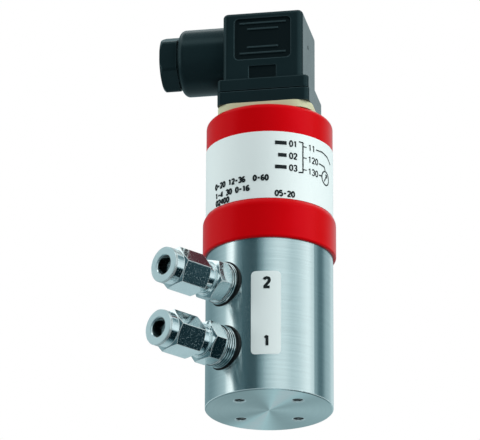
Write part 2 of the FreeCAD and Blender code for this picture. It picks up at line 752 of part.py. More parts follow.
def makeElectronics():
    """Round circuit board on three standoffs, with its screws and its larger components."""
    supports, screws = [], []
    spots = around(3, "standoffCircle", "90")
    board = plate("circuit_board", lambda sketch: drawCircle(sketch, "0", "0", "boardRadius"),
                  "boardBottom", "boardThickness")
    holes = newSketch(board, "screw_holes", "XY_Plane", "boardTop")
    for number, (x, y) in enumerate(spots, start=1):
        drawCircle(holes, x, y, "boardScrewRadius + fitClearance")
        post = cylinder(f"post_{number}", "standoffRadius", "standoffHeight", x, y, "spigotTop")
        tapped = cylinder(f"post_hole_{number}", "boardScrewRadius", "boardScrewReach",
                          x, y, "boardBottom - boardScrewReach")
        supports.append(cut(f"standoff_{number}", post, tapped))
        shank = cylinder(f"board_shank_{number}", "boardScrewRadius", "boardScrewReach + boardThickness",
                         x, y, "boardBottom - boardScrewReach")
        head = cylinder(f"board_head_{number}", "boardScrewHead", "boardScrewHeadHeight", x, y, "boardTop")
        screws.append(joined(f"board_screw_{number}", [shank, head]))
    pocket(board, "screw_drilling", holes, "boardThickness")
    group("board_standoffs", supports)
    group("board_screws", screws)
    chip = block("amplifier", "chipLength", "chipWidth", "chipHeight", z="boardTop")
    driver = block("driver", "chipWidth", "chipLength", "chipHeight", x="chipOffset", y="chipOffset",
                   z="boardTop")
    zero = block("zero_trimmer", "trimmerSide", "trimmerSide", "trimmerHeight", x="0 - chipOffset",
                 y="chipOffset", z="boardTop")
    span = block("span_trimmer", "trimmerSide", "trimmerSide", "trimmerHeight", x="0 - chipOffset",
                 y="0 - chipOffset", z="boardTop")
    atConnector(group("board_components", [chip, driver, zero, span]))


def makeConnectorBase():
    """Gasket and moulded base of the connector, with its brass bush, blades, leads and screws."""
    def square(side, corner):
        return lambda sketch: drawRounded(sketch, side, side, corner, x="connectorShift")

    gasket = plate("connector_gasket", square("gasketSide", "gasketCorner"), "housingTop",
                   "gasketThickness")
    window = newSketch(gasket, "window", "XY_Plane", "gasketTop")
    drawCircle(window, "0", "0", "housingMouthRadius")
    pocket(gasket, "window_cut", window, "gasketThickness")
    drillScrews(gasket, "gasketTop", "gasketThickness", around(4, "baseScrewCircle", "45"))
    atConnector(gasket)
    base = plate("connector_base", square("baseSide", "baseCorner"), "gasketTop", "baseHeight")
    tail = newSketch(base, "tail", "XY_Plane", "gasketTop")
    drawCircle(tail, "0", "0", "baseTailRadius")
    pad(base, "tail_boss", tail, "gasketThickness + baseTailLength", True)
    bush = newSketch(base, "bush_hole", "XY_Plane", "baseTop")
    drawCircle(bush, "0", "0", "insertRadius")
    pocket(base, "bush_bore", bush, "insertHeight")
    slots = newSketch(base, "blade_slots", "XY_Plane", "baseTop")
    bladeSpots = [("bladeCircle", "0", False), ("0 - bladeCircle", "0", False),
                  ("0", "bladeCircle", True), ("0", "0 - bladeCircle", True)]
    for x, y, across in bladeSpots:
        width, depth = ("bladeWidth", "bladeThickness") if across else ("bladeThickness", "bladeWidth")
        drawRectangle(slots, width, depth, x, y)
    pocket(base, "blade_slot_cut", slots, "gasketThickness + baseTailLength + baseHeight + fitClearance")
    screwSpots = around(4, "baseScrewCircle", "45")
    drillScrews(base, "baseTop", "baseHeight", screwSpots)
    sinks = newSketch(base, "screw_sinks", "XY_Plane", "baseTop")
    for x, y in screwSpots:
        drawCircle(sinks, x, y, "baseScrewHead + seatClearance")
    pocket(base, "screw_sinking", sinks, "baseScrewSink")
    atConnector(base)
    screws = []
    for number, (x, y) in enumerate(screwSpots, start=1):
        low = "housingTop - baseScrewReach"
        seat = "baseTop - baseScrewSink"
        shank = cylinder(f"base_shank_{number}", "baseScrewShank", f"{seat} - ({low})", x, y, low)
        head = cylinder(f"base_head_{number}", "baseScrewHead", "baseScrewHeadHeight", x, y, seat)
        screws.append(joined(f"base_screw_{number}", [shank, head]))
    atConnector(group("base_screws", screws))
    bushing = turned("centre_insert", [
        ("insertThreadRadius", "baseTop - insertHeight"), ("insertRadius", "baseTop - insertHeight"),
        ("insertRadius", "baseTop"), ("insertThreadRadius", "baseTop")])
    atConnector(bushing)
    contacts, leads = [], []
    tailLow = "housingTop - baseTailLength - bladeTail"
    for number, (x, y, across) in enumerate(bladeSpots, start=1):
        width, depth = ("bladeWidth", "bladeThickness") if across else ("bladeThickness", "bladeWidth")
        height = "earthBladeHeight" if number == 4 else "bladeHeight"
        blade = block(f"blade_{number}", width, depth, f"baseTop + {height} - ({tailLow})", x, y, tailLow)
        contacts.append(blade)
        leads.append(cylinder(f"lead_{number}", "leadRadius", f"{tailLow} - boardTop", x, y, "boardTop"))
    atConnector(group("contact_blades", contacts[:3]))
    atConnector(group("earth_blade", contacts[3:]))
    atConnector(group("connector_leads", leads))


def makePlug():
    """Moulded plug: rim, box, gland barrel, hollow inside, front panel with bars, and its gasket."""
    body = newBody("plug_housing")
    rim = newSketch(body, "rim", "XY_Plane", "plugBottom")
    drawRounded(rim, "rimSide", "rimSide", "rimCorner", "rimRearCorner", x="rimShift")
    flange = pad(body, "rim_block", rim, "rimHeight")
    roundEdges(body, "rim_edge", flange, "rimEdge", flatAt("rimTop"))
    box = newSketch(body, "box", "XY_Plane", "rimTop")
    drawRounded(box, "boxWidth", "boxDepth", "boxCorner", "boxRearCorner")
    tall = pad(body, "box_block", box, "boxTop - rimTop")
    topped = roundEdges(body, "top_edge", tall, "boxTopEdge", flatAt("boxTop"))
    barrel = newSketch(body, "barrel", "YZ_Plane")
    drawCircle(barrel, "0", "glandHeight", "barrelRadius")
    tube = pad(body, "barrel_tube", barrel, "barrelEnd", True)

    def barrelMouth(edge):
        curve = edge.Curve
        return isinstance(curve, Part.Circle) and near(curve.Radius, value("barrelRadius")) \
            and near(curve.Center.x, -value("barrelEnd"))
    roundEdges(body, "barrel_edge", tube, "barrelEdge", barrelMouth)
    hollow = newSketch(body, "hollow", "XY_Plane", "plugBottom")
    drawRectangle(hollow, "boxWidth - 2 * plugWall", "boxDepth - 2 * plugWall")
    pocket(body, "hollow_cut", hollow, "boxTop - plugTopWall - plugBottom", True)
    recess = newSketch(body, "gasket_recess", "XY_Plane", "plugBottom")
    drawRectangle(recess, "gasketBodySide + seatClearance", "gasketBodySide + seatClearance")
    pocket(body, "gasket_recess_cut", recess, "gasketRise", True)
    boss = newSketch(body, "screw_boss", "XY_Plane", "insertBlockTop + seatClearance")
    drawCircle(boss, "0", "0", "screwBossRadius")
    pad(body, "screw_boss_post", boss, "boxTop - plugTopWall - insertBlockTop")
    mouth = newSketch(body, "gland_bore", "YZ_Plane", "0 - barrelEnd")
    drawCircle(mouth, "0", "glandHeight", "barrelBoreRadius")
    pocket(body, "gland_bore_cut", mouth, "barrelBoreLength", True)
    way = newSketch(body, "cable_way", "YZ_Plane", "0 - barrelFloor")
    drawCircle(way, "0", "glandHeight", "cableHoleRadius")
    pocket(body, "cable_way_cut", way, "barrelFloor - screwBossRadius - plugWall", True)
    well = newSketch(body, "screw_well", "XY_Plane", "boxTop")
    drawCircle(well, "0", "0", "screwWellRadius")
    pocket(body, "screw_well_cut", well, "screwWellDepth")
    hole = newSketch(body, "screw_hole", "XY_Plane", "boxTop")
    drawCircle(hole, "0", "0", "screwHoleRadius")
    pocket(body, "screw_hole_cut", hole, "boxTop - insertBlockTop")
    panel = newSketch(body, "panel", "XZ_Plane", "boxDepth / 2")
    drawRounded(panel, "panelWidth", "panelHeight", "panelCorner", y="(panelBottom + panelHeight / 2)")
    pocket(body, "panel_cut", panel, "panelDepth")
    bars = newSketch(body, "bars", "XZ_Plane", "boxDepth / 2 - panelDepth")
    barPlaces = [("longBarLength", "panelBottom + lowBarRise"),
                 ("shortBarLength", "panelBottom + lowBarRise + barPitch"),
                 ("shortBarLength", "panelBottom + panelHeight - highBarDrop - barPitch"),
                 ("longBarLength", "panelBottom + panelHeight - highBarDrop")]
    for length, height in barPlaces:
        drawRectangle(bars, length, "barHeight", y=f"({height})")
    pad(body, "panel_bars", bars, "barRise")
    tab = newSketch(body, "tab", "XZ_Plane", "boxDepth / 2")
    drawRectangle(tab, "tabWidth", "tabTop - rimTop", y="(tabTop + rimTop) / 2")
    pocket(body, "tab_cut", tab, "tabDepth")
    dimple = newSketch(body, "dimple", "YZ_Plane", "boxWidth / 2")
    drawCircle(dimple, "dimpleSetback", "dimpleHeight", "dimpleRadius")
    pocket(body, "dimple_cut", dimple, "dimpleDepth")
    atConnector(body)
    gasket = plate("plug_gasket", lambda sketch: drawRounded(sketch, "gasketLipSide", "gasketLipSide",
                                                             "rimCorner"), "baseTop", "plugGap")
    raised = newSketch(gasket, "raised", "XY_Plane", "plugBottom")
    drawRectangle(raised, "gasketBodySide", "gasketBodySide")
    pad(gasket, "raised_part", raised, "gasketRise")
    window = newSketch(gasket, "window", "XY_Plane", "gasketStep")
    drawRectangle(window, "gasketWindow", "gasketWindow")
    pocket(gasket, "window_cut", window, "plugGap + gasketRise")
    atConnector(gasket)


def makePlugInside():
    """Terminal block in the plug, with a clamp socket and a terminal screw for each blade."""
    clearance = "2 * insertBlockClearance"
    body = plate("terminal_insert", lambda sketch: drawRectangle(
        sketch, f"boxWidth - 2 * plugWall - {clearance}", f"boxDepth - 2 * plugWall - {clearance}"),
        "gasketStep", "insertBlockHeight")
    spots = [("bladeCircle", "0", False), ("0 - bladeCircle", "0", False),
             ("0", "bladeCircle", True), ("0", "0 - bladeCircle", True)]
    slots = newSketch(body, "socket_slots", "XY_Plane", "gasketStep")
    for x, y, across in spots:
        width, depth = ("socketWidth", "socketThickness") if across else ("socketThickness", "socketWidth")
        drawRectangle(slots, width, depth, x, y)
    pocket(body, "socket_slot_cut", slots, "socketHeight", True)
    access = newSketch(body, "screw_access", "XY_Plane", "insertBlockTop")
    for x, y, across in spots:
        drawCircle(access, x, y, "terminalScrewRadius + fitClearance")
    pocket(body, "screw_access_cut", access, "insertBlockHeight - socketHeight")
    centre = newSketch(body, "centre_hole", "XY_Plane", "insertBlockTop")
    drawCircle(centre, "0", "0", "screwHoleRadius")
    pocket(body, "centre_hole_cut", centre, "insertBlockHeight")
    atConnector(body)
    sockets, screws = [], []
    for number, (x, y, across) in enumerate(spots, start=1):
        width, depth = ("socketWidth", "socketThickness") if across else ("socketThickness", "socketWidth")
        slotWidth = "bladeWidth + 2 * socketClearance"
        slotDepth = "bladeThickness + 2 * socketClearance"
        inner = (slotWidth, slotDepth) if across else (slotDepth, slotWidth)
        outer = block(f"socket_block_{number}", width, depth, "socketHeight", x, y, "gasketStep")
        slot = block(f"socket_slot_{number}", inner[0], inner[1],
                     "earthBladeHeight + baseTop - gasketStep + seatClearance", x, y, "gasketStep")
        sockets.append(cut(f"socket_{number}", outer, slot))
        screws.append(cylinder(f"terminal_screw_{number}", "terminalScrewRadius", "terminalScrewHeight",
                               x, y, "gasketStep + socketHeight"))
    atConnector(group("contact_sockets", sockets))
    atConnector(group("terminal_screws", screws))


def makePlugScrew():
    """Long central screw with a slotted cheese head, and the sealing washer under it."""
    body = turned("plug_screw", [
        ("0", "baseTop - screwReach"), ("screwRadius", "baseTop - screwReach"),
        ("screwRadius", "screwHeadBottom"), ("screwHeadRadius", "screwHeadBottom"),
        ("screwHeadRadius", "screwHeadBottom + screwHeadHeight"),
        ("0", "screwHeadBottom + screwHeadHeight")])
    slot = newSketch(body, "slot", "XY_Plane", "screwHeadBottom + screwHeadHeight")
    drawRectangle(slot, "screwSlotWidth", "2.2 * screwHeadRadius")
    pocket(body, "slot_cut", slot, "screwSlotDepth")
    atConnector(body)
    washer = turned("screw_washer", [
        ("screwRadius + fitClearance", "screwSeat"), ("screwHeadRadius", "screwSeat"),
        ("screwHeadRadius", "screwHeadBottom"), ("screwRadius + fitClearance", "screwHeadBottom")])
    atConnector(washer)


def makeGland():
    """Rubber seal, washer and pressure nut of the cable gland, along their own axis."""
    seal = turned("gland_seal", [
        ("glandSealHole", "barrelFloor"), ("glandSealRadius", "barrelFloor"),
        ("glandSealRadius", "glandSealEnd"), ("glandSealHole", "glandSealEnd")])
    atGland(seal)
    washer = turned("gland_washer", [
        ("glandWasherHole", "glandSealEnd"), ("glandSealRadius", "glandSealEnd"),
        ("glandSealRadius", "glandWasherEnd"), ("glandWasherHole", "glandWasherEnd")])
    atGland(washer)
    nut = newBody("gland_nut")
    hexagon = newSketch(nut, "hexagon", "XY_Plane", "glandNutStart")
    drawHexagon(hexagon, "glandNutFlats")
    blank = pad(nut, "hexagon_block", hexagon, "glandNutEnd - glandNutStart")

    def alongAxis(edge):
        box = edge.BoundBox
        return near(box.XLength, 0) and near(box.YLength, 0)
    roundEdges(nut, "corners", blank, "glandNutCorner", alongAxis)
    bevelSketch = newSketch(nut, "bevels", "XZ_Plane")
    corner = "glandNutFlats / sqrt(3)"
    drawOutline(bevelSketch, [(f"{corner} - glandNutEdge", "glandNutEnd"), (f"{corner} + 1", "glandNutEnd"),
                              (f"{corner} + 1", "glandNutEnd - glandNutEdge - 1")])
    groove(nut, "bevel", bevelSketch)
    stem = newSketch(nut, "stem", "XY_Plane", "glandWasherEnd")
    drawCircle(stem, "0", "0", "glandThreadRadius")
    pad(nut, "stem_tube", stem, "glandNutStart - glandWasherEnd")
    bore = newSketch(nut, "bore", "XY_Plane", "glandNutEnd")
    drawCircle(bore, "0", "0", "glandNutHole")
    pocket(nut, "bore_cut", bore, "glandNutEnd - glandWasherEnd")
    atGland(nut)


def makeFitting(port, hexTurn):
    """One tube fitting: body, sealing ring, cutting ring and union nut, along their own axis."""
    height = f"{port}PortHeight"
    reach = f"{port}FittingReach"
    body = newBody(f"{port}_fitting")
    profile = newSketch(body, "profile", "XZ_Plane")
    drawOutline(profile, [
        ("fittingPassageRadius", "0 - fittingThreadLength"),
        ("fittingThreadRadius - hexChamfer", "0 - fittingThreadLength"),
        ("fittingThreadRadius", "hexChamfer - fittingThreadLength"),
        ("fittingThreadRadius", "0"), ("fittingNeckRadius", "0"),
        ("fittingNeckRadius", "fittingNeckEnd"), ("coneMouthRadius", "fittingNeckEnd"),
        ("tubeHoleRadius", "fittingNeckEnd - coneDepth"), ("tubeHoleRadius", "tubeStop"),
        ("fittingPassageRadius", "tubeStop")])
    revolve(body, "turning", profile)
    hexagon = newSketch(body, "hexagon", "XY_Plane")
    drawHexagon(hexagon, "fittingHexFlats")
    drawCircle(hexagon, "0", "0", "fittingNeckRadius - seatClearance")
    pad(body, "hexagon_block", hexagon, "fittingHexLength")
    chamferHexagon(body, "fittingHexFlats", "0", "fittingHexLength")
    atPort(body, height, reach, hexTurn)
    sealOuter = "fittingThreadRadius + fittingSealWidth"
    seal = turned(f"{port}_fitting_seal", [
        ("fittingThreadRadius", "0"), (f"{sealOuter} - fittingSealRound", "0"),
        (sealOuter, "fittingSealRound"), (sealOuter, "fittingSealHeight - fittingSealRound"),
        (f"{sealOuter} - fittingSealRound", "fittingSealHeight"), ("fittingThreadRadius", "fittingSealHeight")],
        {1: (1, "fittingSealRound"), 3: (1, "fittingSealRound")})
    atPort(seal, height, "spotFaceFloor")
    ring = turned(f"{port}_cutting_ring", [
        ("tubeHoleRadius", "ringNose"),
        ("tubeHoleRadius + coneSlope * ringNoseInset - fitClearance", "ringNose"),
        ("coneMouthRadius - fitClearance", "fittingNeckEnd"),
        ("coneMouthRadius - fitClearance", "fittingNeckEnd + seatClearance"),
        ("cuttingRingRadius", "fittingNeckEnd + seatClearance"),
        ("cuttingRingRadius", "ringBack - nutConeSlope * (cuttingRingRadius - cuttingRingBackRadius)"),
        ("cuttingRingBackRadius", "ringBack"), ("tubeHoleRadius", "ringBack")])
    atPort(ring, height, reach)
    nut = newBody(f"{port}_union_nut")
    hexSketch = newSketch(nut, "hexagon", "XY_Plane", "nutStart")
    drawHexagon(hexSketch, "nutFlats")
    pad(nut, "hexagon_block", hexSketch, "nutHexLength")
    chamferHexagon(nut, "nutFlats", "nutStart", "nutHexEnd")
    sleeve = newSketch(nut, "sleeve", "XY_Plane", "nutHexEnd")
    drawCircle(sleeve, "0", "0", "nutRoundRadius")
    tube = pad(nut, "sleeve_tube", sleeve, "nutEnd - nutHexEnd")
    rimTest = roundAt("nutEnd", "nutRoundRadius")
    roundEdges(nut, "rim_bevel", tube, "nutRimBevel", rimTest, "PartDesign::Chamfer")
    line = newSketch(nut, "ring_line", "XZ_Plane")
    drawOutline(line, [("nutRoundRadius - nutGrooveDepth", "nutEnd - nutGrooveInset - nutGrooveWidth"),
                       ("nutRoundRadius + 1", "nutEnd - nutGrooveInset - nutGrooveWidth"),
                       ("nutRoundRadius + 1", "nutEnd - nutGrooveInset"),
                       ("nutRoundRadius - nutGrooveDepth", "nutEnd - nutGrooveInset")])
    groove(nut, "ring_groove", line)
    inside = newSketch(nut, "inside", "XZ_Plane")
    drawOutline(inside, [("0", "nutStart - 1"), ("nutThreadRadius", "nutStart - 1"),
                         ("nutThreadRadius", "nutConeStart"), ("tubeHoleRadius", "nutHoleStart"),
                         ("tubeHoleRadius", "nutEnd - nutMouthBevel"),
                         ("tubeHoleRadius + nutMouthBevel", "nutEnd"),
                         ("tubeHoleRadius + nutMouthBevel", "nutEnd + 1"), ("0", "nutEnd + 1")])
    groove(nut, "bore", inside)
    atPort(nut, height, reach, "nutTurn")


def chamferHexagon(body, flats, low, high):
    """Turns a cone off both ends of a hexagon, which leaves the curved edges on its flats."""
    corner = f"({flats}) / sqrt(3)"
    sketch = newSketch(body, "hexagon_chamfers", "XZ_Plane")
    drawOutline(sketch, [(f"{corner} - 2 * hexChamfer", low), (f"{corner} + hexChamfer", low),
                         (f"{corner} + hexChamfer", f"{low} + 1.5 * hexChamfer")])
    drawOutline(sketch, [(f"{corner} - 2 * hexChamfer", high),
                         (f"{corner} + hexChamfer", f"{high} - 1.5 * hexChamfer"),
                         (f"{corner} + hexChamfer", high)])
    groove(body, "hexagon_chamfer", sketch)


def checkDocument():
    """Stops on any object that failed, any cut that removed nothing, and any piece with a bad shape."""
    for item in doc.Objects:
        if "Invalid" in item.State or "Error" in item.State:
            raise RuntimeError(f"{item.Label} failed: {item.State}")
    for body, feature, adds in checks:
        before = feature.BaseFeature.Shape.Volume if feature.BaseFeature else 0.0
        change = feature.Shape.Volume - before
        if (adds and change <= 0) or (not adds and change >= 0):
            raise RuntimeError(f"{feature.Label} changed the volume by {change}")
    for part in parts:
        if part.Shape.isNull() or not part.Shape.isValid():
            raise RuntimeError(f"{part.Label} has no valid shape")


fillSheet()
makePressureBody()
makeCell()
makeClosingPlug()
makeHousing()
makeLabels()
makeElectronics()
makeConnectorBase()
makePlug()
makePlugInside()
makePlugScrew()
makeGland()
makeFitting("lower", "lowerHexTurn")
makeFitting("upper", "upperHexTurn")
doc.recompute()
checkDocument()

os.makedirs("parts", exist_ok=True)
for part in parts:
    part.Shape.exportStep(f"parts/{part.Label}.step")
    print(part.Label, len(part.Shape.Solids), round(part.Shape.Volume, 1))
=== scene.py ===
import math
import bpy
import numpy as np
from mathutils import Matrix, Vector


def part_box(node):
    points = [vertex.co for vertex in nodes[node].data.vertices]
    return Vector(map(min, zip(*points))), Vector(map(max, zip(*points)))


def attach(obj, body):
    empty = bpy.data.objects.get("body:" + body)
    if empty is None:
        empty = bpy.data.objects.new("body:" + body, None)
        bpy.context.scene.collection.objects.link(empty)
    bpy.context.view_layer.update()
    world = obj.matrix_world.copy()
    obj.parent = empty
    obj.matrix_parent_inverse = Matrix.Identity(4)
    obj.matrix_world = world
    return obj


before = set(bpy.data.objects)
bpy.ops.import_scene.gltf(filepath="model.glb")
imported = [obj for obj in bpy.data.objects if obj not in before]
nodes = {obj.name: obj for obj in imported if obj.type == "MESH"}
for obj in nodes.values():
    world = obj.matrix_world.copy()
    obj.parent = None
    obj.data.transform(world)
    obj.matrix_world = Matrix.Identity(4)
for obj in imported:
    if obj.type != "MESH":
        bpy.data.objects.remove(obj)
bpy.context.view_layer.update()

scene = bpy.context.scene
print("frame loaded:", len(nodes), "nodes")

# Camera: stands in front and to the right, below the base, looking up through a long lens
camera = {"place": (0.99360, -0.95270, -0.46760), "around": 46.6, "pitch": 21.143, "roll": 0.212,
          "lens": 342.86, "sensor": 36.0, "near": 0.05, "far": 20.0}
cameraData = bpy.data.cameras.new("camera")
cameraData.lens = camera["lens"]
cameraData.sensor_width = camera["sensor"]
cameraData.clip_start, cameraData.clip_end = camera["near"], camera["far"]
cameraObject = bpy.data.objects.new("camera", cameraData)
scene.collection.objects.link(cameraObject)
cameraTurn = (Matrix.Rotation(math.radians(camera["around"]), 4, "Z")
              @ Matrix.Rotation(math.radians(90 + camera["pitch"]), 4, "X")
              @ Matrix.Rotation(math.radians(camera["roll"]), 4, "Z"))
cameraObject.matrix_world = Matrix.Translation(camera["place"]) @ cameraTurn
scene.camera = cameraObject
scene.view_settings.view_transform = "Standard"

# Floor, far enough below for a camera that looks up at the base
floor = {"level": -1.30, "half": 6.0, "glow": 0.42}
corners = np.array([(-1, -1), (1, -1), (1, 1), (-1, 1)]) * floor["half"]
floorMesh = bpy.data.meshes.new("floor")
floorMesh.from_pydata([(x, y, floor["level"]) for x, y in corners], [], [(0, 1, 2, 3)])
floorObject = bpy.data.objects.new("floor", floorMesh)
scene.collection.objects.link(floorObject)
floorObject.visible_glossy = False
floorObject.visible_diffuse = False
print("camera and floor placed")


# Shader maths: a Wire is a socket that Python's operators work on
class Wire:
    def __init__(self, shader, socket):
        self.shader, self.socket = shader, socket

    def apply(self, operation, *values):
        return self.shader.node("ShaderNodeMath", {"operation": operation}, *values)

    def __add__(self, other): return self.apply("ADD", self, other)
    def __radd__(self, other): return self.apply("ADD", other, self)
    def __sub__(self, other): return self.apply("SUBTRACT", self, other)
    def __rsub__(self, other): return self.apply("SUBTRACT", other, self)
    def __mul__(self, other): return self.apply("MULTIPLY", self, other)
    def __rmul__(self, other): return self.apply("MULTIPLY", other, self)
    def __truediv__(self, other): return self.apply("DIVIDE", self, other)
    def __rtruediv__(self, other): return self.apply("DIVIDE", other, self)
    def __pow__(self, other): return self.apply("POWER", self, other)
    def __lt__(self, other): return self.apply("LESS_THAN", self, other)
    def __abs__(self): return self.apply("ABSOLUTE", self)
    def least(self, other): return self.apply("MINIMUM", self, other)
    def most(self, other): return self.apply("MAXIMUM", self, other)
    def clamp(self): return self.shader.node("ShaderNodeClamp", {}, self)


class Shader:
    def __init__(self, tree):
        self.tree = tree
        tree.nodes.clear()

    # any node: its type, its settings, then values or Wires for its inputs, by order or by name
    def node(self, kind, settings=None, *values, out=0, **named):
        made = self.tree.nodes.new(kind)
        for key, setting in (settings or {}).items():
            if key == "stops":
                ramp = made.color_ramp
                while len(ramp.elements) < len(setting):
                    ramp.elements.new(0.5)
                for element, (place, color) in zip(ramp.elements, setting):
                    element.position = place
                    element.color = color if len(color) == 4 else (*color, 1)
            else:
                setattr(made, key, setting)
        sockets = [(made.inputs[number], value) for number, value in enumerate(values)]
        sockets += [(made.inputs[name.replace("_", " ")], value) for name, value in named.items()]
        for socket, value in sockets:
            if value is None:
                continue
            if isinstance(value, Wire):
                self.tree.links.new(value.socket, socket)
            else:
                socket.default_value = value
        return Wire(self, made.outputs[out]) if len(made.outputs) else None

    # smooth step from low to high
    def rise(self, value, low, high):
        smooth = {"interpolation_type": "SMOOTHSTEP"}
        return self.node("ShaderNodeMapRange", smooth, value, low, high, 0.0, 1.0)

    # a wave of the angle, from -1 to 1
    def wave(self, value):
        return self.node("ShaderNodeMath", {"operation": "SINE"}, value)

    # the angle of a place round the upright axis
    def turn(self, x, y):
        return self.node("ShaderNodeMath", {"operation": "ARCTAN2"}, y, x)

    def mix(self, factor, first, second):
        pair = [color if isinstance(color, Wire) else (*color, 1) for color in (first, second)]
        return self.node("ShaderNodeMix", {"data_type": "RGBA"}, factor, *[None] * 5, *pair, out=2)

    def place(self):
        return self.node("ShaderNodeTexCoord", {}, out="Object")

    # the three numbers of a vector
    def axes(self, vector):
        split = self.node("ShaderNodeSeparateXYZ", {}, vector)
        return [Wire(self, socket) for socket in split.socket.node.outputs]

    def vector(self, x, y, z):
        return self.node("ShaderNodeCombineXYZ", {}, x, y, z)

    def noise(self, vector, scale, detail=2.0, rough=0.5):
        return self.node("ShaderNodeTexNoise", {}, Vector=vector, Scale=scale, Detail=detail,
                         Roughness=rough)

    def bump(self, height, distance, strength=1.0, normal=None):
        return self.node("ShaderNodeBump", {}, Strength=strength, Distance=distance, Height=height,
                         Normal=normal)

    # painted edge highlight: a mask found where the rounded normal leaves the flat one, given with the
    # rounded normal
    def edgeHighlight(self, radius, low, high):
        rounded = self.node("ShaderNodeBevel", {"samples": 6}, Radius=radius)
        flat = self.node("ShaderNodeNewGeometry", {}, out="Normal")
        match = self.node("ShaderNodeVectorMath", {"operation": "DOT_PRODUCT"}, rounded, flat, out="Value")
        return rounded, self.rise(1 - match, low, high)


# one material: fixed values go straight on the shader's own sockets, wires are linked
def newMaterial(name, build, **fixed):
    material = bpy.data.materials.new(name)
    material.use_nodes = True
    shader = Shader(material.node_tree)
    values = {**build(shader), **fixed}
    for key, value in values.items():
        if isinstance(value, tuple):
            values[key] = (*value, 1)
    surface = shader.node("ShaderNodeBsdfPrincipled", {}, **values)
    shader.node("ShaderNodeOutputMaterial", {}, surface)
    return material


# Studio: white behind, and for reflections a ring of soft boxes and dark cloths round the object
studio = {
    "front": -43.4,                      # heading from the object to the camera
    "fill": 0.40,
    "gain": 2.0,
    "strip": 1.30,                       # a soft box high all round, darker above it
    "ceiling": 0.45,
    # heading from the camera's side, growing to the right, and brightness there
    "ring": ((-180, 0.36), (-130, 0.31), (-118, 0.37), (-108, 0.45), (-98, 0.54), (-87, 0.66), (-81, 1.15),
             (-70, 1.45), (-65, 0.62), (-60, 0.30), (-52, 0.17), (-44, 0.11), (-36, 0.085), (-25, 0.09),
             (-14, 0.34), (-6, 0.60), (4, 0.78), (14, 0.92), (27, 0.92), (41, 0.74), (54, 0.82), (66, 1.02),
             (74, 1.15), (82, 0.98), (90, 0.50), (99, 0.20), (109, 0.17), (122, 0.50), (136, 0.58),
             (152, 0.85), (168, 0.70), (180, 0.40)),
    # the same below the horizon, where a dark cloth lies to the right
    "under": ((-180, 0.60), (-140, 0.46), (-100, 0.22), (-60, 0.12), (-20, 0.12), (20, 0.62), (44, 0.22),
              (62, 0.015), (110, 0.012), (130, 0.18), (155, 0.50), (180, 0.60)),
    # heights, as the sine of the angle, where the ring gives way to under, strip and ceiling
    "underFrom": (0.10, 0.30),
    "stripFrom": (0.66, 0.78),
    "ceilingFrom": (0.86, 0.95),
    # power and factor of the red and of the blue: teal in the dark parts, nearly white in the bright ones
    "red": (1.25, 0.86),
    "blue": (0.94, 1.02),
    "soft": (0.93, 0.98, 1.0, 1),        # the colour of the light that falls on dull surfaces
    "white": (1, 1, 1, 1),
}


def paintWorld():
    world = bpy.data.worlds.new("studio")
    world.use_nodes = True
    scene.world = world
    shader = Shader(world.node_tree)
    x, y, z = shader.axes(shader.node("ShaderNodeTexCoord", {}, out="Generated"))
    heading = shader.turn(x, y) * (180 / math.pi) - studio["front"]
    heading = shader.node("ShaderNodeMath", {"operation": "WRAP"}, heading, 180.0, -180.0)
    bands = []
    for band in ("ring", "under"):
        stops = [((place + 180) / 360, (glow / studio["gain"],) * 3) for place, glow in studio[band]]
        level = shader.node("ShaderNodeValToRGB", {"stops": stops}, heading / 360 + 0.5)
        bands.append(level * studio["gain"])
    ring, under = bands
    glow = ring + (under - ring) * shader.rise(z * -1, *studio["underFrom"])
    glow = glow + (studio["strip"] - glow) * shader.rise(z, *studio["stripFrom"])
    glow = glow + (studio["ceiling"] - glow) * shader.rise(z, *studio["ceilingFrom"])
    red, blue = (glow ** power * factor for power, factor in (studio["red"], studio["blue"]))
    gloss = shader.node("ShaderNodeBackground", {}, shader.vector(red, glow, blue), 1.0)
    white = shader.node("ShaderNodeBackground", {}, studio["white"], 1.0)
    soft = shader.node("ShaderNodeBackground", {}, studio["soft"], studio["fill"])
    isGlossy = shader.node("ShaderNodeLightPath", {}, out="Is Glossy Ray")
    isCamera = shader.node("ShaderNodeLightPath", {}, out="Is Camera Ray")
    lit = shader.node("ShaderNodeMixShader", {}, isGlossy, soft, gloss)
    seen = shader.node("ShaderNodeMixShader", {}, isCamera, lit, white)
    shader.node("ShaderNodeOutputWorld", {}, seen)


paintWorld()

# Lamps, as heading from the camera's side, height angle, distance, size and power
lamps = {
    "key": (58, 24, 1.3, 0.9, 13.5),
    "left": (-95, 10, 1.4, 0.5, 12.0),
    "top": (10, 80, 1.4, 1.0, 4.5),
    "low": (20, -50, 0.55, 0.5, 0.4),
}
lampColor = (1.0, 0.99, 0.97)
middle = Vector((0, 0, 0.066))           # where they point, half-way up the object
for name, (heading, height, distance, size, power) in lamps.items():
    lampData = bpy.data.lights.new(name, "AREA")
    lampData.energy, lampData.size = power, size
    lampData.color = lampColor
    lampObject = bpy.data.objects.new(name, lampData)
    angle, lift = math.radians(heading + studio["front"]), math.radians(height)
    away = Vector((math.cos(angle) * math.cos(lift), math.sin(angle) * math.cos(lift), math.sin(lift)))
    lampObject.matrix_world = (Matrix.Translation(middle + away * distance)
                               @ away.to_track_quat("Z", "Y").to_matrix().to_4x4())
    lampObject.visible_glossy = False
    lampObject.visible_camera = False
    scene.collection.objects.link(lampObject)
print("studio lit")


# Finishes
def floorLook(shader):
    spread = shader.noise(shader.place(), 3.0)
    return {"Base_Color": shader.mix(spread, (0.84, 0.85, 0.85), (0.88, 0.89, 0.89)), "Roughness": 0.9}


# The steel body: its base has four threaded holes on a circle and a small chamfer all round
steelBody = {"holeCircle": 0.013, "holeWall": 0.0020, "holeMouth": 0.00215, "holeFloor": 0.012,
             "baseFace": 0.0002, "chamfer": 0.0004, "chamferStart": 0.0195}
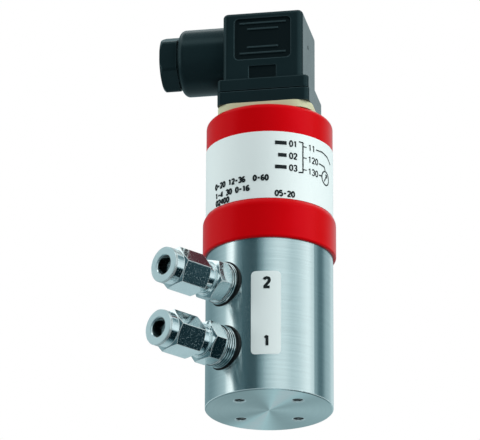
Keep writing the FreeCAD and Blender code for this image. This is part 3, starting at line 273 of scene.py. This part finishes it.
# painted glints: two opposite fans of light painted on the base, as phase, power and strength, and a paler
# painted side
baseFan = {"phase": 2.46, "power": 3, "glow": 0.72, "sidePhase": 0.58, "sideGlow": 0.08, "level": -0.20}


def holeDistance(x, y):
    # from the axis of the nearest hole
    across = abs(abs(x) - steelBody["holeCircle"])
    beside = abs(abs(y) - steelBody["holeCircle"])
    return ((across * across + y * y) ** 0.5).least((x * x + beside * beside) ** 0.5)


def steelLook(shader):
    # fine lines round the body on its side, rings on its base
    x, y, z = shader.axes(shader.place())
    radius = (x * x + y * y) ** 0.5
    base = z < steelBody["baseFace"]
    along = base * radius + (1 - base) * z
    turn = shader.turn(x, y)
    lines = shader.noise(shader.vector(along * 4200, turn * 1.6, 0.0), 1.0, 3.0, 0.6)
    broad = shader.noise(shader.vector(along * 1500, turn * 0.9, 3.0), 1.0, 3.0, 0.6)
    shade = lines * 0.45 + broad * 0.55
    # painted glints on the turned base, by the angle round the axis
    fan = (shader.wave(turn * 2 + baseFan["phase"]).most(0.0) ** baseFan["power"]) * baseFan["glow"]
    fan = fan + shader.wave(turn + baseFan["sidePhase"]) * baseFan["sideGlow"] + baseFan["level"]
    # walls of the four holes are in shadow
    nearest = holeDistance(x, y)
    edgeZone = z < steelBody["chamfer"]
    dark = (nearest < steelBody["holeWall"]) * (1 - edgeZone) * (z < steelBody["holeFloor"])
    # painted highlight: pale, less metallic chamfers round the base and at the holes' mouths
    chamferHighlight = (1 - base) * edgeZone * (1 - (radius < steelBody["chamferStart"]))
    chamferHighlight = chamferHighlight + (nearest < steelBody["holeMouth"]) * edgeZone
    # painted light: the glints on the base and the shade in the holes scale the colour
    paintedLight = (1 + base * fan) * (1 - dark * 0.55)
    color = shader.vector(paintedLight * (1 - base * 0.06) * (0.55 + shade * 0.26), paintedLight * (0.60 + shade * 0.29),
                          paintedLight * (0.61 + shade * 0.28))
    height = lines * 0.7 + broad * 0.3
    return {"Base_Color": shader.mix(chamferHighlight, color, (0.72, 0.90, 0.93)), "Metallic": 1 - chamferHighlight * 0.7,
            "Roughness": 0.14 + shade * 0.09 + base * 0.14, "Normal": shader.bump(height, 0.000012, 0.7)}


def holeThreadLook(shader):
    # painted highlight on the crests, painted shade in the roots
    x, y = shader.axes(shader.place())[:2]
    crest = 1 - shader.rise(holeDistance(x, y), 0.00146, 0.00162)
    return {"Base_Color": shader.mix(crest, (0.05, 0.06, 0.064), (0.90, 0.95, 0.96)),
            "Metallic": 1 - crest * 0.8, "Roughness": 0.22 + crest * 0.10}


# heights of the two fittings' axes, and how deep a nut's end face reaches into its chamfer
fittingHeight = {"lower": 0.0160, "upper": 0.03745}
faceDepth = 0.00012


def nickelLook(shader, endFace=None):
    # drawn hexagon bar: bright, with a speckled skin; a union nut's turned end face is satin
    place = shader.place()
    cloud = shader.noise(place, 240.0, 3.0)
    fine = shader.noise(place, 2400.0, 2.0)
    speck = shader.rise(shader.noise(place, 2700.0, 2.0, 0.7), 0.55, 0.68)
    rounded, edge = shader.edgeHighlight(0.00030, 0.03, 0.10)
    # painted highlight along the edges: paler and less metallic
    color = shader.mix(edge, shader.mix(cloud, (0.74, 0.80, 0.81), (0.88, 0.93, 0.94)), (0.93, 1.0, 1.0))
    metal = 1 - edge * 0.85
    rough = 0.02 + cloud * 0.05 + speck * 0.24
    if endFace is not None:
        face = shader.axes(place)[1] < endFace + faceDepth
        color = shader.mix(face, color, (0.47, 0.63, 0.66))
        metal = metal * (1 - face * 0.72)
        rough = rough + face * 0.30
    return {"Base_Color": color, "Metallic": metal, "Roughness": rough,
            "Normal": shader.bump(fine * 0.5 + speck * 0.5, 0.00003, 0.22, rounded)}


def fittingThreadLook(shader):
    # bright crests, painted shade in the dark roots, by the distance from the nearer fitting's axis
    place = shader.place()
    x, z = shader.axes(place)[::2]
    between = (fittingHeight["upper"] + fittingHeight["lower"]) / 2
    rise = abs(abs(z - between) - (fittingHeight["upper"] - between))
    crest = shader.rise((x * x + rise * rise) ** 0.5, 0.00658, 0.00680)
    cloud = shader.noise(place, 900.0, 2.0)
    return {"Base_Color": shader.mix(crest, (0.03, 0.036, 0.038), (0.84, 0.90, 0.91)), "Metallic": 1.0,
            "Roughness": 0.10 + cloud * 0.12}


def turnedSteelLook(shader):
    cloud = shader.noise(shader.place(), 400.0, 3.0)
    return {"Base_Color": shader.mix(cloud, (0.52, 0.55, 0.56), (0.68, 0.71, 0.72)), "Metallic": 1.0,
            "Roughness": 0.26 + cloud * 0.12}


def redLook(shader):
    place = shader.place()
    cloud = shader.noise(place, 60.0, 3.0)
    grain = shader.noise(place, 2400.0, 2.0)
    # painted shade: as mirrored in the metal, the moulding is given a darker colour
    mirrored = shader.node("ShaderNodeLightPath", {}, out="Is Glossy Ray")
    color = shader.mix(cloud, (0.52, 0.0004, 0.0006), (0.62, 0.0012, 0.0030))
    return {"Base_Color": shader.mix(mirrored, color, (0.10, 0.026, 0.032)),
            "Roughness": 0.27 + cloud * 0.08, "Normal": shader.bump(grain, 0.00002, 0.25)}


# black moulding: two shades that drift into each other, and a painted highlight on the edges
blackShade = {"dark": (0.0060, 0.0135, 0.0155), "light": (0.0090, 0.0185, 0.0210),
              "edge": (0.040, 0.072, 0.082), "highlight": 0.8}


def blackParts(shader, place):
    # the shade, its roughness, the painted edge highlight and the grained normal
    cloud = shader.noise(place, 90.0, 3.0)
    grain = shader.noise(place, 3200.0, 2.0)
    rounded, edge = shader.edgeHighlight(0.0004, 0.015, 0.09)
    color = shader.mix(cloud, blackShade["dark"], blackShade["light"])
    return color, 0.20 + cloud * 0.10, edge * blackShade["highlight"], shader.bump(grain, 0.00003, 0.3, rounded)


def blackLook(shader):
    color, rough, edge, normal = blackParts(shader, shader.place())
    # painted highlight on the edges
    return {"Base_Color": shader.mix(edge, color, blackShade["edge"]), "Roughness": rough, "Normal": normal}


# The plug's front has a sunk panel with raised bars, and a sunk tab; both floors get painted shade, the bars
# and the panel's lip a painted highlight.
# Depths are along the front's own direction; each outline is half width, low, high and corner radius
plugFront = {"turn": 36.1, "front": -0.0137, "bars": -0.01345, "floor": -0.0125, "lip": 0.00034,
             "panel": (0.00925, 0.1158, 0.1302, 0.0015), "tab": (0.0045, 0.10875, 0.1134, 0.0003),
             "frontSlack": 0.00006, "barSlack": (0.00010, 0.00012),
             "floorPaintedShade": (0.0006, 0.0007, 0.0010), "barHighlight": (0.020, 0.034, 0.037)}


def plugLook(shader):
    place = shader.place()
    x, y, z = shader.axes(place)
    turn = math.radians(plugFront["turn"])
    along = x * math.cos(turn) + y * math.sin(turn)
    deep = y * math.cos(turn) - x * math.sin(turn)
    behind, before = plugFront["barSlack"]
    barFront = deep < plugFront["bars"] + behind
    sunk = (deep < plugFront["floor"]) * (1 - barFront)
    bars = barFront * (1 - (deep < plugFront["bars"] - before))
    # distance outside each place's rounded outline, negative within it
    reach = []
    for half, low, high, corner in (plugFront["panel"], plugFront["tab"]):
        wide = (abs(along) - (half - corner)).most(0.0)
        tall = (abs(z - (low + high) / 2) - ((high - low) / 2 - corner)).most(0.0)
        reach.append((wide * wide + tall * tall) ** 0.5 - corner)
    panel, tab = reach
    inPanel = panel < 0.0
    floorPart = sunk * (inPanel + (tab < 0.0))
    lip = (deep < plugFront["front"] + plugFront["frontSlack"]) * (panel < plugFront["lip"]) * (1 - inPanel)
    barPart = (bars * inPanel + lip * 0.5).clamp()
    color, rough, edge, normal = blackParts(shader, place)
    # painted shade on the sunk floors, painted highlight on the bars, the lip and the edges
    color = shader.mix(floorPart, color, plugFront["floorPaintedShade"])
    color = shader.mix(barPart, color, plugFront["barHighlight"])
    color = shader.mix(edge * (1 - floorPart), color, blackShade["edge"])
    return {"Base_Color": color, "Roughness": rough + floorPart * 0.2, "Normal": normal}


def rubberLook(shader):
    cloud = shader.noise(shader.place(), 300.0, 3.0)
    return {"Base_Color": shader.mix(cloud, (0.004, 0.0055, 0.006), (0.008, 0.010, 0.011)),
            "Roughness": 0.22 + cloud * 0.12}


def creamLook(shader):
    place = shader.place()
    cloud = shader.noise(place, 220.0, 4.0)
    grain = shader.noise(place, 2200.0, 2.0)
    return {"Base_Color": shader.mix(cloud, (0.54, 0.57, 0.36), (0.66, 0.67, 0.46)),
            "Roughness": 0.55, "Normal": shader.bump(grain, 0.00003, 0.3)}


def labelLook(shader):
    place = shader.place()
    cloud = shader.noise(place, 40.0, 3.0)
    grain = shader.noise(place, 1500.0, 3.0)
    return {"Base_Color": shader.mix(cloud, (0.75, 0.86, 0.86), (0.81, 0.91, 0.91)),
            "Roughness": 0.40 + cloud * 0.08, "Normal": shader.bump(grain, 0.00001, 0.25)}


def inkLook(shader):
    cloud = shader.noise(shader.place(), 900.0, 2.0)
    return {"Base_Color": shader.mix(cloud, (0.004, 0.007, 0.008), (0.012, 0.017, 0.019)), "Roughness": 0.45}


def brassLook(shader):
    cloud = shader.noise(shader.place(), 500.0, 2.0)
    return {"Base_Color": shader.mix(cloud, (0.62, 0.44, 0.18), (0.74, 0.56, 0.26)), "Metallic": 1.0,
            "Roughness": 0.22 + cloud * 0.12}


def platedLook(shader):
    cloud = shader.noise(shader.place(), 700.0, 3.0)
    return {"Base_Color": shader.mix(cloud, (0.62, 0.63, 0.62), (0.76, 0.77, 0.75)), "Metallic": 1.0,
            "Roughness": 0.20 + cloud * 0.14}


def boardLook(shader):
    tracks = shader.node("ShaderNodeTexBrick", {"offset": 0.5}, Vector=shader.place(), Scale=300.0,
                         Mortar_Size=0.12, out=1)
    return {"Base_Color": shader.mix(tracks, (0.012, 0.16, 0.06), (0.03, 0.24, 0.10)), "Roughness": 0.3}


def chipLook(shader):
    cloud = shader.noise(shader.place(), 600.0, 2.0)
    return {"Base_Color": shader.mix(cloud, (0.02, 0.02, 0.022), (0.035, 0.035, 0.038)), "Roughness": 0.5}


def glassLook(shader):
    cloud = shader.noise(shader.place(), 500.0, 2.0)
    return {"Base_Color": shader.mix(cloud, (0.10, 0.22, 0.16), (0.18, 0.32, 0.24)), "Roughness": 0.08}


floorMesh.materials.append(newMaterial("floor_paint", floorLook, Emission_Color=(0.94, 0.97, 0.97),
                                       Emission_Strength=floor["glow"]))
blackGloss = {"Specular_IOR_Level": 0.27, "Specular_Tint": (0.55, 0.92, 1.0)}
finishes = {
    "brushed_steel": newMaterial("brushed_steel", steelLook, Anisotropic=0.9, Anisotropic_Rotation=0.25),
    "hole_thread": newMaterial("hole_thread", holeThreadLook),
    "bright_nickel": newMaterial("bright_nickel", nickelLook),
    "thread_nickel": newMaterial("thread_nickel", fittingThreadLook),
    "turned_steel": newMaterial("turned_steel", turnedSteelLook),
    "red_moulding": newMaterial("red_moulding", redLook, Specular_IOR_Level=0.22,
                                Specular_Tint=(1.0, 0.12, 0.30)),
    "black_moulding": newMaterial("black_moulding", blackLook, **blackGloss),
    "plug_moulding": newMaterial("plug_moulding", plugLook, **blackGloss),
    "seal_rubber": newMaterial("seal_rubber", rubberLook, Specular_IOR_Level=0.2),
    "cream_rubber": newMaterial("cream_rubber", creamLook),
    "label_film": newMaterial("label_film", labelLook),
    "label_ink": newMaterial("label_ink", inkLook, Specular_IOR_Level=0.2),
    "turned_brass": newMaterial("turned_brass", brassLook),
    "zinc_plate": newMaterial("zinc_plate", platedLook),
    "circuit_lacquer": newMaterial("circuit_lacquer", boardLook),
    "chip_resin": newMaterial("chip_resin", chipLook),
    "sealing_glass": newMaterial("sealing_glass", glassLook),
}
# a union nut's end face is at its node's lowest y
for port in ("lower", "upper"):
    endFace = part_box(f"{port}_union_nut")[0][1]
    finish = f"{port}_nut_nickel"
    finishes[finish] = newMaterial(finish, lambda shader: nickelLook(shader, endFace))
nodeFinish = {
    "brushed_steel": ("pressure_body",),
    "bright_nickel": ("lower_fitting", "upper_fitting", "lower_cutting_ring", "upper_cutting_ring"),
    "lower_nut_nickel": ("lower_union_nut",),
    "upper_nut_nickel": ("upper_union_nut",),
    "turned_steel": ("sensor_cell", "cell_diaphragms", "cell_retaining_ring", "closing_plug"),
    "red_moulding": ("electronics_housing",),
    "black_moulding": ("connector_base", "terminal_insert", "gland_nut"),
    "plug_moulding": ("plug_housing",),
    "seal_rubber": ("cell_seal", "closing_plug_seal", "housing_seal", "plug_gasket", "gland_seal",
                    "lower_fitting_seal", "upper_fitting_seal", "screw_washer"),
    "cream_rubber": ("connector_gasket",),
    "label_film": ("wrap_label", "port_label"),
    "turned_brass": ("board_standoffs", "centre_insert"),
    "zinc_plate": ("feedthrough_pins", "contact_blades", "earth_blade", "contact_sockets", "connector_leads",
                   "board_screws", "base_screws", "terminal_screws", "plug_screw", "gland_washer"),
    "circuit_lacquer": ("circuit_board",),
    "chip_resin": ("board_components",),
    "sealing_glass": ("feedthrough_glass",),
}
for finish, names in nodeFinish.items():
    for name in names:
        nodes[name].data.materials.clear()
        nodes[name].data.materials.append(finishes[finish])
print("finishes given to the nodes")


# a tube from a grid of points, the first direction round it and the second along it
def tubeMesh(name, points, finish, body, flip=False):
    rows, columns = points.shape[:2]
    first, second = np.arange(rows)[:, None], np.arange(columns - 1)[None, :]
    following = (first + 1) % rows
    quads = np.stack([first * columns + second, following * columns + second,
                      following * columns + second + 1, first * columns + second + 1], -1).reshape(-1, 4)
    newPiece(name, points.reshape(-1, 3), quads[:, ::-1] if flip else quads, finish, body)


def newPiece(name, points, faces, finish, body):
    mesh = bpy.data.meshes.new(name)
    mesh.from_pydata(points.tolist(), [], faces.tolist())
    mesh.update()
    mesh.materials.append(finishes[finish])
    piece = bpy.data.objects.new(name, mesh)
    scene.collection.objects.link(piece)
    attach(piece, body)
    return piece


def threadWave(place, pitch, turns):
    # up and down once in each pitch, from 0 to 1, shifted by the angle so that it winds
    phase = (place / pitch + turns[:, None] / (2 * np.pi)) % 1.0
    return 1 - np.abs(2 * phase - 1)


# Threads of the two fittings, seen between the hexagon and the steel body
fittingThreads = {"lower": (-0.02440, -0.02045), "upper": (-0.02235, -0.02045), "root": 0.00630,
                  "crest": 0.00684, "pitch": 0.00095, "turns": 97, "places": 61, "runOut": 14}


def fittingThread(start, end, height):
    # a tube along y whose radius is a rounded saw, fading out at both ends
    turns = np.linspace(0, 2 * np.pi, fittingThreads["turns"])[:-1]
    along = np.linspace(0, 1, fittingThreads["places"])
    place = start + (end - start) * along[None, :]
    wave = threadWave(place, fittingThreads["pitch"], turns)
    fade = np.clip(np.minimum(along, 1 - along)[None, :] * fittingThreads["runOut"], 0, 1)
    rise = fittingThreads["crest"] - fittingThreads["root"]
    radius = fittingThreads["root"] + rise * np.clip(wave * 1.3 - 0.1, 0, 1) * fade
    return np.stack([radius * np.cos(turns)[:, None], place + 0 * turns[:, None],
                     height + radius * np.sin(turns)[:, None]], -1)


for port, height in fittingHeight.items():
    tubeMesh(f"{port}_fitting_thread", fittingThread(*fittingThreads[port], height), "thread_nickel",
             "transmitter")
print("fitting threads made")


# Threads in the four holes of the base
baseThreads = {"wall": 0.00164, "crest": 0.00140, "pitch": 0.0007, "depth": 0.0070, "mouth": 0.0005,
               "turns": 49, "places": 81, "runOut": 10}


def holeThread(centreX, centreY):
    # the inside of a tube along z whose radius is a saw, fading out at the mouth
    turns = np.linspace(0, 2 * np.pi, baseThreads["turns"])[:-1]
    along = np.linspace(0, 1, baseThreads["places"])
    place = baseThreads["mouth"] + (baseThreads["depth"] - baseThreads["mouth"]) * along[None, :]
    wave = threadWave(place, baseThreads["pitch"], turns)
    fade = np.clip(along[None, :] * baseThreads["runOut"], 0, 1)
    radius = baseThreads["wall"] - (baseThreads["wall"] - baseThreads["crest"]) * wave * fade
    return np.stack([centreX + radius * np.cos(turns)[:, None], centreY + radius * np.sin(turns)[:, None],
                     place + 0 * turns[:, None]], -1)


for number in range(4):
    angle = math.pi / 2 * number
    centre = (steelBody["holeCircle"] * math.cos(angle), steelBody["holeCircle"] * math.sin(angle))
    tubeMesh(f"base_thread_{number + 1}", holeThread(*centre), "hole_thread", "transmitter",
             flip=True)
print("base hole threads made")

# Print on the labels, as strokes laid on the label's own curve.
# A place is (right along the curve from the label's middle heading, height), both in millimetres
wrapPrint = {"radius": 0.02062, "middle": -43.4, "lift": 0.00004}
portPrint = {"radius": 0.02062, "middle": -46.9, "lift": 0.00004}
inkFilm = 0.00003                        # thickness of the ink, in metres
bandStep = 0.5                           # longest leg of a stroke, in millimetres


def strokeBand(line, width):
    # a band of even width along a line of points, as a grid of left and right edges
    line = np.asarray(line, float)
    legs = np.linalg.norm(np.diff(line, axis=0), axis=1)
    reach = np.concatenate([[0], np.cumsum(legs)])
    between = np.linspace(0, reach[-1], int(reach[-1] / bandStep) + 2)
    spots = np.unique(np.concatenate([reach, between]))
    path = np.stack([np.interp(spots, reach, line[:, 0]), np.interp(spots, reach, line[:, 1])], -1)
    ahead = np.gradient(path, axis=0)
    ahead /= np.linalg.norm(ahead, axis=1)[:, None] + 1e-12
    side = np.stack([-ahead[:, 1], ahead[:, 0]], -1) * width / 2
    return np.stack([path - side, path + side], 1)


def wrapPoints(flat, look):
    # right along the curve becomes an angle round the body
    angle = math.radians(look["middle"]) + flat[..., 0] * 0.001 / look["radius"]
    radius = look["radius"] + look["lift"]
    return np.stack([radius * np.cos(angle), radius * np.sin(angle), flat[..., 1] * 0.001], -1)


def printPiece(name, strokes, look):
    points, faces, count = [], [], 0
    for line, width in strokes:
        band = strokeBand(line, width)
        rows = len(band)
        points.append(wrapPoints(band, look).reshape(-1, 3))
        first = np.arange(rows - 1)[:, None] * 2 + count
        faces.append(np.concatenate([first, first + 2, first + 3, first + 1], 1))
        count += rows * 2
    piece = newPiece(name, np.concatenate(points), np.concatenate(faces)[:, ::-1], "label_ink",
                     "transmitter")
    skin = piece.modifiers.new("film", "SOLIDIFY")
    skin.thickness, skin.offset = inkFilm, -1.0


def ringLine(x, z, wide, tall, steps=25):
    turn = np.linspace(0, 2 * np.pi, steps)
    return np.stack([x + wide * np.cos(turn), z + tall * np.sin(turn)], -1)


# plain figures as lines in a cell 2.2 wide and 3.8 tall
figures = {
    "0": [ringLine(0, 0, 1.0, 1.9)],
    "1": [[(-0.7, 1.1), (0.1, 1.9), (0.1, -1.9)]],
    "2": [[(-1.0, 1.1), (-0.7, 1.7), (0, 1.9), (0.7, 1.7), (1.0, 1.0), (0.8, 0.3), (-1.0, -1.9),
           (1.1, -1.9)]],
    "3": [[(-1.0, 1.4), (-0.4, 1.9), (0.4, 1.9), (0.95, 1.3), (0.85, 0.5), (0.1, 0.1), (0.9, -0.3),
           (1.0, -1.2), (0.4, -1.9), (-0.4, -1.9), (-1.0, -1.4)]],
    "4": [[(0.5, -1.9), (0.5, 1.9), (-1.1, -0.8), (1.1, -0.8)]],
    "5": [[(0.9, 1.9), (-0.8, 1.9), (-0.9, 0.3), (0.2, 0.5), (0.95, -0.1), (0.95, -1.3), (0.2, -1.9),
           (-1.0, -1.5)]],
    "6": [[(0.8, 1.6), (0.1, 1.9), (-0.8, 1.1), (-1.0, -0.7), (-0.5, -1.8), (0.5, -1.8), (1.0, -0.9),
           (0.5, 0.0), (-0.4, 0.0), (-0.9, -0.7)]],
}


# figures along a row that starts at x; a space moves on, a dash is a short line
def figureRow(row, x, z, scale, width, step=2.9):
    strokes = []
    for figure in row:
        lines = [[(-0.8, 0), (0.8, 0)]] if figure == "-" else figures.get(figure, [])
        strokes += [([(x + px * scale, z + pz * scale) for px, pz in line], width) for line in lines]
        x += step * scale
    return strokes


def figureRows(rows):
    return [stroke for row, spot in rows.items() for stroke in figureRow(row, *spot)]


# widths of the strokes
ink = {"bracket": 0.42, "tick": 0.34, "bar": 1.25, "number": 0.46, "meter": 0.42, "label": 0.36,
       "needle": 0.40}

# wiring key: a bracket with three ticks, and a bar and a number for each wire
key = [([(9.6, 84.6), (11.1, 84.5), (11.1, 74.2), (9.5, 74.0)], ink["bracket"])]
key += [([(11.1, z), (12.5, z)], ink["tick"]) for z in (83.2, 79.4, 75.3)]
for number, z, start in ((1, 83.5, 1.6), (2, 79.3, 2.6), (3, 75.2, 1.6)):
    key.append(([(start, z), (5.4, z)], ink["bar"]))
    key += figureRow(f"0{number}", 6.9, z, 0.50, ink["number"])
printPiece("wrap_print_key", key, wrapPrint)

# wires: a number and a lead each, with a meter between the last two
leads = {"11": (13.9, 83.4, [(16.6, 83.4), (19.6, 83.6), (22.9, 82.9), (25.4, 81.3)], 0.42),
         "120": (13.8, 79.3, [(18.0, 79.1), (20.9, 78.9), (21.5, 77.6)], 0.42),
         "130": (13.8, 75.2, [(18.0, 75.2), (19.5, 75.2)], 0.44)}
wires = []
for row, (x, z, lead, width) in leads.items():
    wires += figureRow(row, x, z, 0.52, ink["label"]) + [(lead, width)]
wires += [(ringLine(21.7, 75.2, 2.2, 2.3), ink["meter"]), ([(20.9, 74.0), (22.5, 76.5)], ink["needle"]),
          ([(21.5, 76.4), (22.5, 76.5), (22.6, 75.4)], ink["label"])]
printPiece("wrap_print_wires", wires, wrapPrint)

# rows of numbers, as start, height, size and width
wrapRows = {"0-20 12-36  0-60": (-20.2, 71.4, 0.44, 0.58), "1-4 30 0-16": (-20.0, 68.2, 0.44, 0.58),
            "02400": (-19.8, 65.7, 0.44, 0.58), "05-20": (2.2, 66.1, 0.46, 0.52)}
printPiece("wrap_print_rows", figureRows(wrapRows), wrapPrint)
portRows = {"2": (0.3, 35.7, 0.84, 0.92), "1": (0.3, 16.1, 0.84, 0.92)}
printPiece("port_print_figures", figureRows(portRows), portPrint)
print("label print made")
